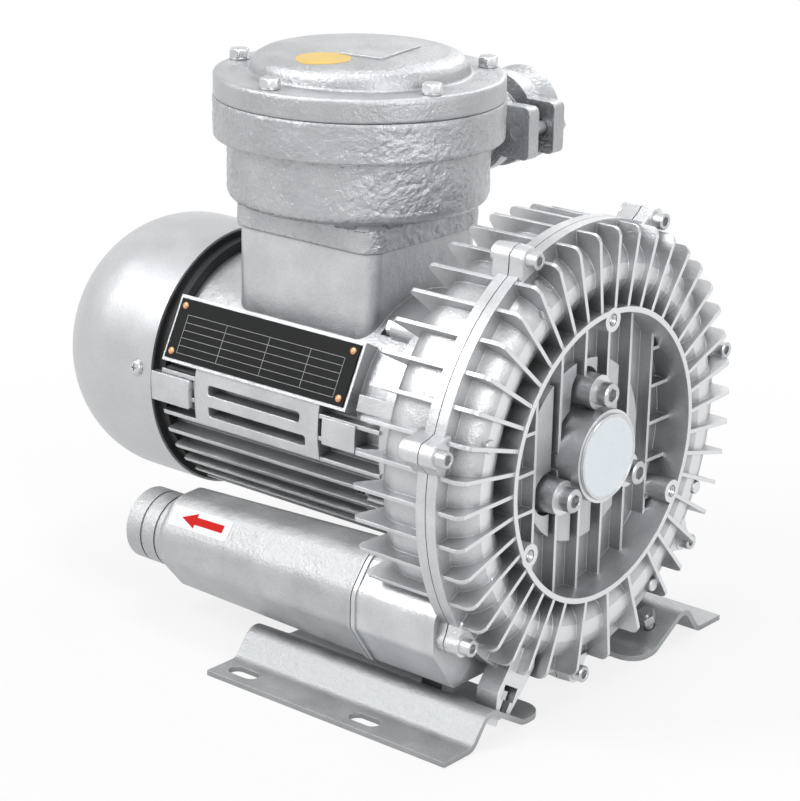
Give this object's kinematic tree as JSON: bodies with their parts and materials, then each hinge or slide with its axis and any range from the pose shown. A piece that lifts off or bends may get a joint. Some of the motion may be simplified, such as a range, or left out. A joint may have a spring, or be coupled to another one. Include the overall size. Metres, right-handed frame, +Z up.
{
  "type": "side channel blower",
  "caption": "Ring blower with a finned side channel housing, flameproof motor and terminal box, grooved hose spigots and sheet feet.",
  "frame": {"origin": "on the floor, at the middle of the four slots in the feet", "axes": "+X along the shaft towards the impeller cover, +Y towards the cable entry, +Z up"},
  "size_m": [0.3625, 0.2786, 0.3286],
  "materials": {
    "cast_paint": "silver stove paint on a fine cast skin",
    "hammered_paint": "silver paint on a coarse sand-cast skin",
    "frame_paint": "silver paint on the motor's castings",
    "cowl_paint": "silver paint on pressed sheet",
    "foot_paint": "silver paint on folded sheet",
    "silencer_paint": "silver paint on a smooth casting",
    "machined": "turned aluminium",
    "steel": "zinc plated steel",
    "bearing_steel": "ground bearing steel",
    "core_steel": "stacked electrical sheet",
    "copper": "enamelled copper wire",
    "rivet_copper": "copper rivets",
    "brass": "brass studs and nuts",
    "rubber": "black rubber",
    "gasket_sheet": "dark gasket sheet",
    "black_plate": "black enamelled plate",
    "cap_white": "pale cap",
    "black_plastic": "moulded plastic",
    "foam": "open-cell foam"
  },
  "bodies": {
    "stator_side": {"rear_housing": "cast_paint", "front_cover": "cast_paint", "bearing_cartridge": "cast_paint", "terminal_box": "hammered_paint", "terminal_lid": "hammered_paint", "gland_body": "hammered_paint", "motor_frame": "frame_paint", "rear_end_shield": "frame_paint", "fan_cover": "cowl_paint", "left_foot": "foot_paint", "right_foot": "foot_paint", "left_silencer": "silencer_paint", "right_silencer": "silencer_paint", "cover_screws": "steel", "hub_screws": "steel", "end_shield_screws": "steel", "frame_screws": "steel", "wave_washer": "steel", "fan_cover_screws": "steel", "box_screws": "steel", "lid_screws": "steel", "earth_screw": "steel", "gland_washer": "steel", "gland_screws": "steel", "silencer_screws": "steel", "foot_bolts": "steel", "foot_nuts": "steel", "foot_washers": "steel", "front_outer_ring": "bearing_steel", "rear_outer_ring": "bearing_steel", "stator_core": "core_steel", "stator_windings": "copper", "nameplate_rivets": "rivet_copper", "terminal_studs": "brass", "shaft_seal": "rubber", "lid_seal": "rubber", "gland_seal": "rubber", "cover_gasket": "gasket_sheet", "box_gasket": "gasket_sheet", "silencer_gaskets": "gasket_sheet", "nameplate": "black_plate", "hub_cap": "cap_white", "terminal_block": "black_plastic", "silencer_foam": "foam"},
    "rotor": {"shaft": "steel", "rotor_core": "core_steel", "impeller": "machined", "impeller_key": "steel", "impeller_spacer": "machined", "shaft_end_washer": "steel", "shaft_end_screw": "steel", "front_inner_ring": "bearing_steel", "rear_inner_ring": "bearing_steel", "cooling_fan": "black_plastic", "fan_circlip": "steel"},
    "front_cage": {"front_balls": "bearing_steel"},
    "rear_cage": {"rear_balls": "bearing_steel"}
  },
  "joints": [
    {"name": "rotor_spin", "type": "hinge", "parent": "stator_side", "child": "rotor", "pos_m": [0, 0, 0.1345], "axis": [1, 0, 0], "continuous": true},
    {"name": "front_cage_spin", "type": "hinge", "parent": "stator_side", "child": "front_cage", "pos_m": [0.09, 0, 0.1345], "axis": [1, 0, 0], "continuous": true},
    {"name": "rear_cage_spin", "type": "hinge", "parent": "stator_side", "child": "rear_cage", "pos_m": [-0.152, 0, 0.1345], "axis": [1, 0, 0], "continuous": true}
  ],
  "couplings": [
    {"joint": "front_cage_spin", "follows": "rotor_spin", "ratio": 0.3842},
    {"joint": "rear_cage_spin", "follows": "rotor_spin", "ratio": 0.3842}
  ]
}
